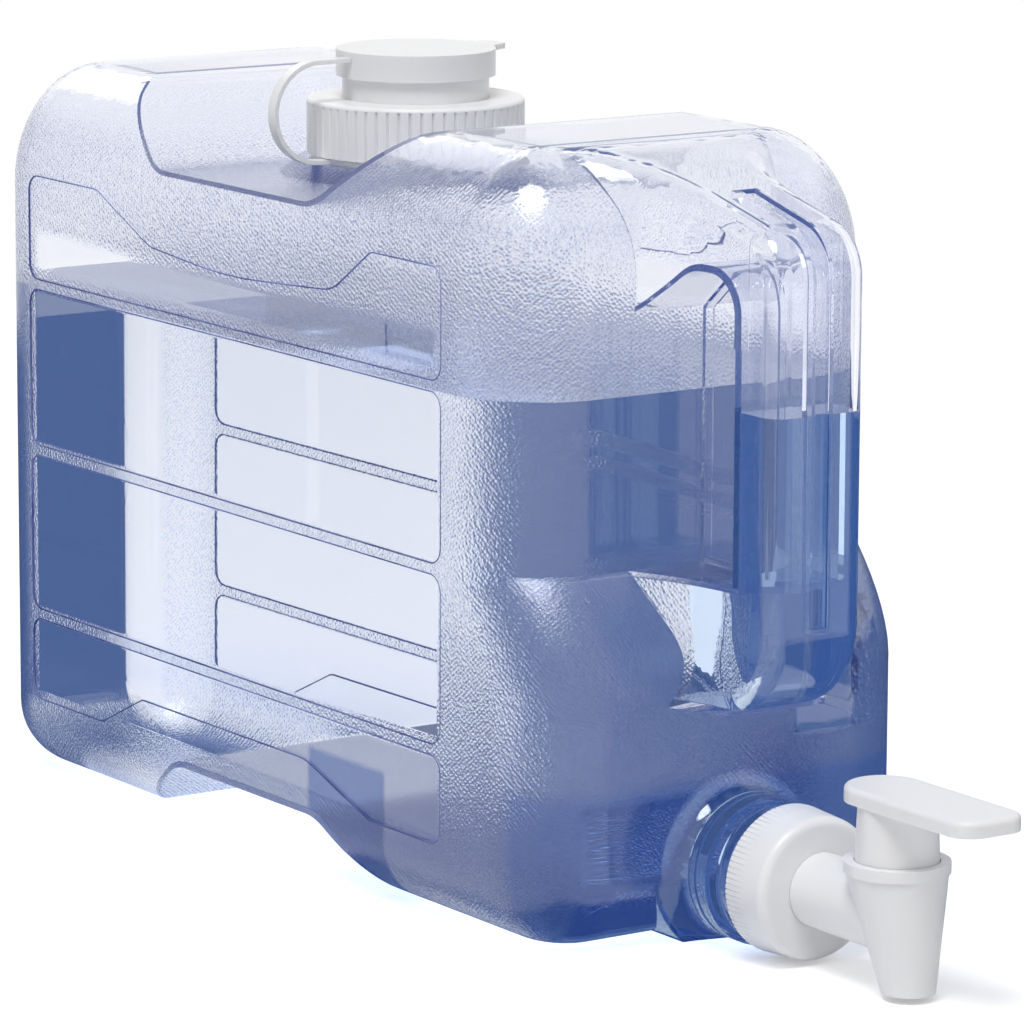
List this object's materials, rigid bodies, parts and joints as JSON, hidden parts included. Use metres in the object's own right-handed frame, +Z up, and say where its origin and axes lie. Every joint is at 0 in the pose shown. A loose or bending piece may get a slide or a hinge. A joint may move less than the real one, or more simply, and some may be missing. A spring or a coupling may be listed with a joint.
{
  "type": "water dispenser bottle",
  "caption": "Slim blow-moulded countertop water dispenser with an integral front handle, a filler cap with strap and a turn tap.",
  "frame": {"origin": "on the standing surface, under the middle of the whole product, lever and lid tab included", "axes": "+Z up, +Y from the tap and handle at the front towards the rear wall, +X to the right seen from the front"},
  "size_m": [0.132, 0.4256, 0.2334],
  "materials": {
    "clear_bottle": "clear, glossy, with pebbled walls",
    "white_plastic": "satin white",
    "milky_plastic": "satin, slightly translucent",
    "seal_rubber": "matt"
  },
  "bodies": {
    "bottle": {"bottle": "clear_bottle", "filler_seal": "seal_rubber", "pour_spout": "milky_plastic", "lid_strap": "milky_plastic", "tap_seal": "seal_rubber", "tap_body": "white_plastic"},
    "ring": {"screw_ring": "white_plastic"},
    "lid": {"pour_lid": "milky_plastic"},
    "nut": {"tap_nut": "white_plastic"},
    "lever": {"tap_plug": "white_plastic", "plug_oring": "seal_rubber"}
  },
  "joints": [
    {"name": "ring_turn", "type": "hinge", "parent": "bottle", "child": "ring", "pos_m": [0, 0.06675, 0.2109], "axis": [0, 0, 1], "continuous": true},
    {"name": "lid_lift", "type": "slide", "parent": "bottle", "child": "lid", "axis": [0, 0, 1], "range_m": [0, 0.025], "deforming": ["lid_strap"]},
    {"name": "nut_turn", "type": "hinge", "parent": "bottle", "child": "nut", "pos_m": [0, -0.1284, 0.0216], "axis": [0, -1, 0], "continuous": true},
    {"name": "lever_turn", "type": "hinge", "parent": "bottle", "child": "lever", "pos_m": [0, -0.16995, 0.03], "axis": [0, 0, 1], "range_deg": [-90, 90]}
  ]
}
